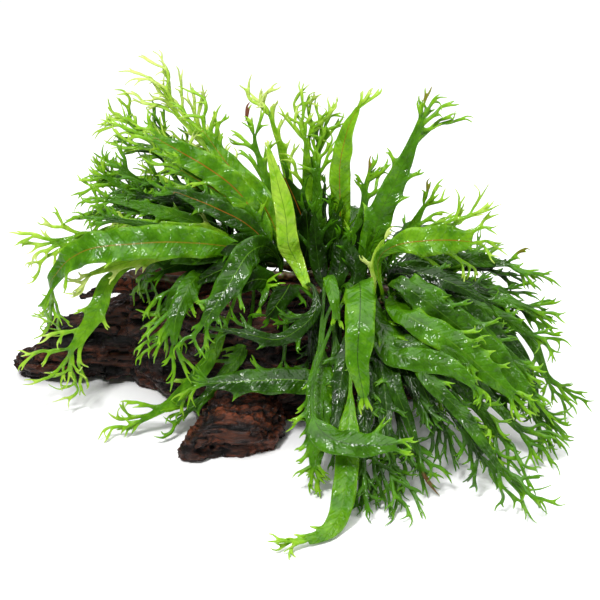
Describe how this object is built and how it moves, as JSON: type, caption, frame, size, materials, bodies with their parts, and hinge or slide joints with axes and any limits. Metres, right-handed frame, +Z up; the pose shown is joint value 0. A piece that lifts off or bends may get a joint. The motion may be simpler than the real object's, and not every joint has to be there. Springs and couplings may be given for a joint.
{
  "type": "java fern on driftwood",
  "caption": "Lace java fern grown on a piece of dark driftwood: strap-shaped green fronds with forked tips spread from creeping rhizomes.",
  "frame": {"origin": "on the flat sole of the driftwood trunk, under the crown of the fern", "axes": "+X along the driftwood, to the right as seen from the front; +Y away from the front; +Z up"},
  "size_m": [0.3052, 0.2377, 0.1719],
  "materials": {
    "driftwood": "wet and glossy",
    "rhizome": "satin",
    "frond": "wet and glossy"
  },
  "bodies": {
    "root": {"wood_trunk": "driftwood", "wood_left_limb": "driftwood", "wood_right_limb": "driftwood", "wood_front_block": "driftwood", "wood_splinter": "driftwood", "rhizome_front": "rhizome", "rhizome_middle": "rhizome", "rhizome_back": "rhizome", "frond_glossy_broad": "frond", "frond_glossy_narrow": "frond", "frond_hooked": "frond", "frond_olive_stem": "frond", "frond_flat_front": "frond", "frond_low_left": "frond", "frond_left_arch": "frond", "frond_left_reach": "frond", "frond_left_yellow": "frond", "frond_left_hanging": "frond", "frond_upper_left_a": "frond", "frond_upper_left_b": "frond", "frond_upper_left_c": "frond", "frond_upper_left_d": "frond", "frond_upper_left_e": "frond", "frond_upper_left_f": "frond", "frond_upper_left_g": "frond", "frond_upper_left_h": "frond", "frond_upper_left_i": "frond", "frond_crown_pale": "frond", "frond_crown_lace_a": "frond", "frond_crown_lace_b": "frond", "frond_crown_lace_c": "frond", "frond_crown_upright": "frond", "frond_crown_young": "frond", "frond_crown_lace_d": "frond", "frond_right_upright": "frond", "frond_right_lace": "frond", "frond_right_bright": "frond", "frond_front_lobed": "frond", "frond_front_dark": "frond", "frond_front_bright": "frond", "frond_right_long_a": "frond", "frond_right_long_b": "frond", "frond_right_long_c": "frond", "frond_right_long_d": "frond", "frond_right_outer": "frond", "frond_right_lace_high": "frond", "frond_right_lace_mid": "frond", "frond_right_lace_low": "frond", "frond_right_dark": "frond", "frond_low_across": "frond", "frond_low_hanging": "frond", "frond_low_curving": "frond", "frond_low_lace_a": "frond", "frond_low_lace_b": "frond", "frond_low_lace_c": "frond", "frond_low_lace_d": "frond", "frond_back_a": "frond", "frond_back_b": "frond", "frond_back_c": "frond", "frond_back_d": "frond"}
  },
  "joints": []
}
